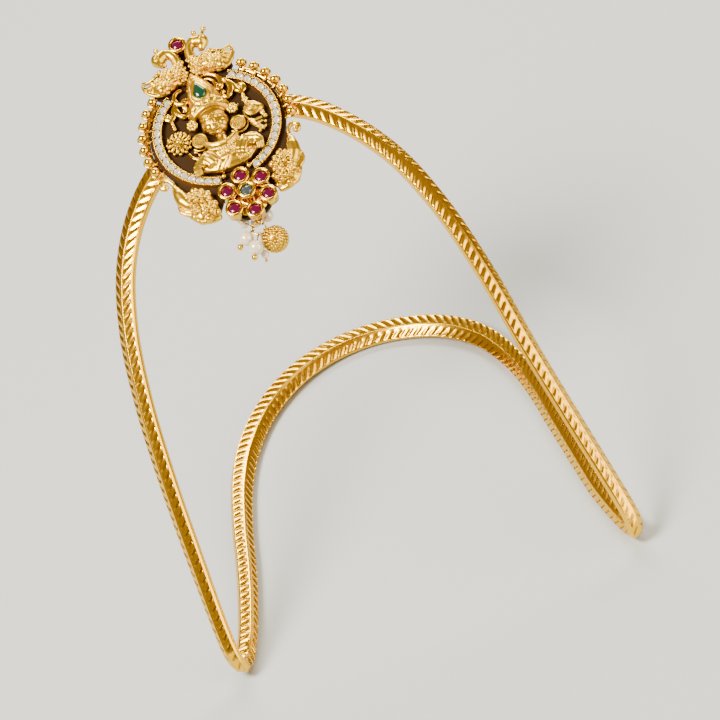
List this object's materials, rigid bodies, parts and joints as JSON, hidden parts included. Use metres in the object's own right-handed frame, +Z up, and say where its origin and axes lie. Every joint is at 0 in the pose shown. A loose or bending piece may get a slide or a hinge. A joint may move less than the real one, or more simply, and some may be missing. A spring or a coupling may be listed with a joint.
{
  "type": "armlet",
  "caption": "Gilt upper-arm ornament: inverted-V band with carved leaves, and a medallion of a seated crowned figure in a ring of clear stones, with a ruby flower, peacocks and pearl drops",
  "frame": {"origin": "centre of the overall box at its bottom, on the table under the armlet, as it rests on its two side tips and its back arch", "axes": "+X from the left side tip to the right side tip as seen in the picture, +Y away from the viewer from the side tips to the back arch, +Z up from the table"},
  "size_m": [0.0899, 0.0966, 0.0918],
  "materials": {
    "gold": "antique gilt, burnished high points with brown patina in the hollows",
    "dark_plate": "dark oxidised, matte",
    "clear_stone": "cut and foiled, clear",
    "ruby": "polished, foiled red",
    "emerald": "polished, foiled green",
    "blue_stone": "polished, pale slate blue",
    "pearl": "pearl lustre"
  },
  "bodies": {
    "root": {"band": "gold", "back_plate": "dark_plate", "stone_channel_right": "gold", "stone_channel_left": "gold", "ring_stones": "clear_stone", "bead_rim_right": "gold", "bead_rim_left": "gold", "peacock_right": "gold", "peacock_left": "gold", "top_bezel": "gold", "top_ruby": "ruby", "figure": "gold", "crown_emerald": "emerald", "ear_disc_right": "gold", "ear_disc_left": "gold", "discus": "gold", "conch": "gold", "scrolls_right": "gold", "scrolls_left": "gold", "side_leaf_right": "gold", "side_leaf_left": "gold", "flower_setting": "gold", "ruby_1": "ruby", "ruby_2": "ruby", "ruby_3": "ruby", "ruby_4": "ruby", "ruby_5": "ruby", "ruby_6": "ruby", "flower_centre_stone": "blue_stone", "drop_ring": "gold", "gold_ball": "gold", "pearl_1": "pearl", "pearl_2": "pearl", "pearl_3": "pearl", "pearl_4": "pearl", "pearl_5": "pearl", "pearl_6": "pearl", "pearl_pin_1": "gold", "pearl_pin_2": "gold", "pearl_pin_3": "gold", "pearl_pin_4": "gold", "pearl_pin_5": "gold", "pearl_pin_6": "gold"}
  },
  "joints": []
}
